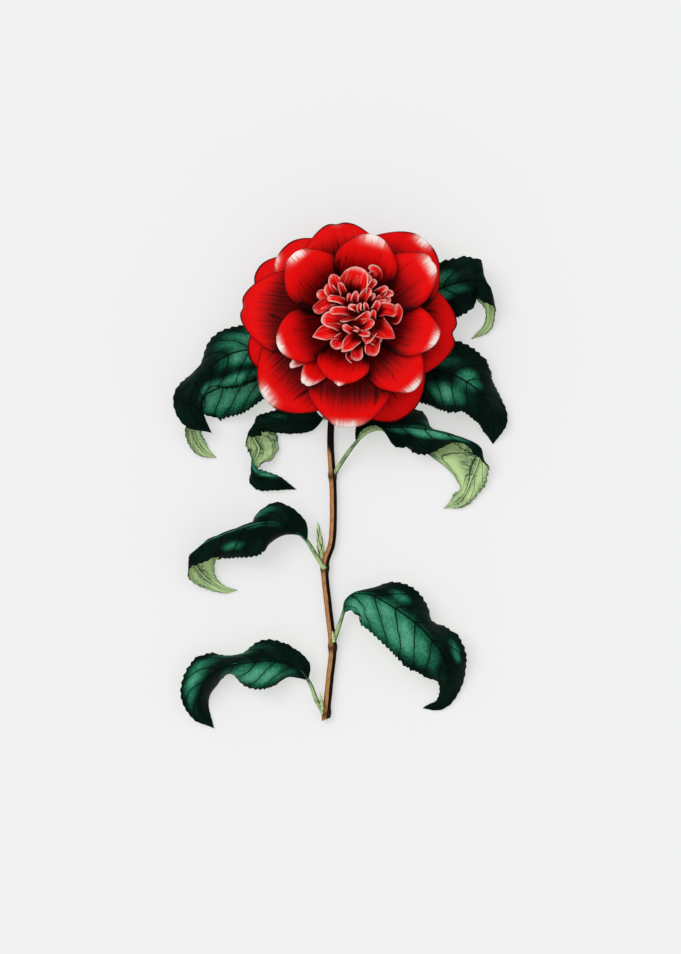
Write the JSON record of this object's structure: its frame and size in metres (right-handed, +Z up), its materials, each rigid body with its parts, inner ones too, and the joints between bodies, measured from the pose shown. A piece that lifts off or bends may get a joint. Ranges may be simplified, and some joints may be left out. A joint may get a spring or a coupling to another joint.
{
  "type": "camellia flower",
  "caption": "Cut camellia sprig lying on a table: a double bloom with broad layered petals round a heart of petaloids, on a woody twig with glossy toothed leaves and buds.",
  "frame": {"origin": "middle of the small flat under the twig's elbow, on the surface that the sprig lies on", "axes": "+Z up from that surface through the bloom's heart, +Y along the twig from its cut end towards the bloom, +X to the right as seen from above"},
  "size_m": [0.154, 0.233, 0.05],
  "materials": {
    "bark": "smooth tan bark, darker at the leaf nodes",
    "leaf": "leathery glossy green leaf, pale matt underside",
    "bud": "pale green overlapping bud scales",
    "sepal": "silky green-brown sepals",
    "petal": "soft satin red petals, cream at some tips",
    "petaloid": "satin red petaloids with pinkish white rims"
  },
  "bodies": {
    "root": {"stem": "bark", "leaf_1": "leaf", "leaf_2": "leaf", "leaf_3": "leaf", "leaf_4": "leaf", "leaf_5": "leaf", "leaf_6": "leaf", "leaf_7": "leaf", "leaf_8": "leaf", "leaf_9": "leaf", "bud_upper": "bud", "bud_axil": "bud", "bud_lower": "bud", "calyx": "sepal", "petal_middle_a": "petal", "petal_middle_e": "petal", "petal_middle_b": "petal", "petal_middle_g": "petal", "petal_middle_c": "petal", "petal_middle_f": "petal", "petal_middle_d": "petal", "petal_middle_h": "petal", "petal_middle_i": "petal", "petal_outer_1": "petal", "petal_outer_2": "petal", "petal_outer_3": "petal", "petal_outer_4": "petal", "petal_outer_5": "petal", "petal_outer_6": "petal", "petal_outer_7": "petal", "petal_outer_8": "petal", "petal_outer_9": "petal", "petal_outer_10": "petal", "heart": "petaloid"}
  },
  "joints": []
}
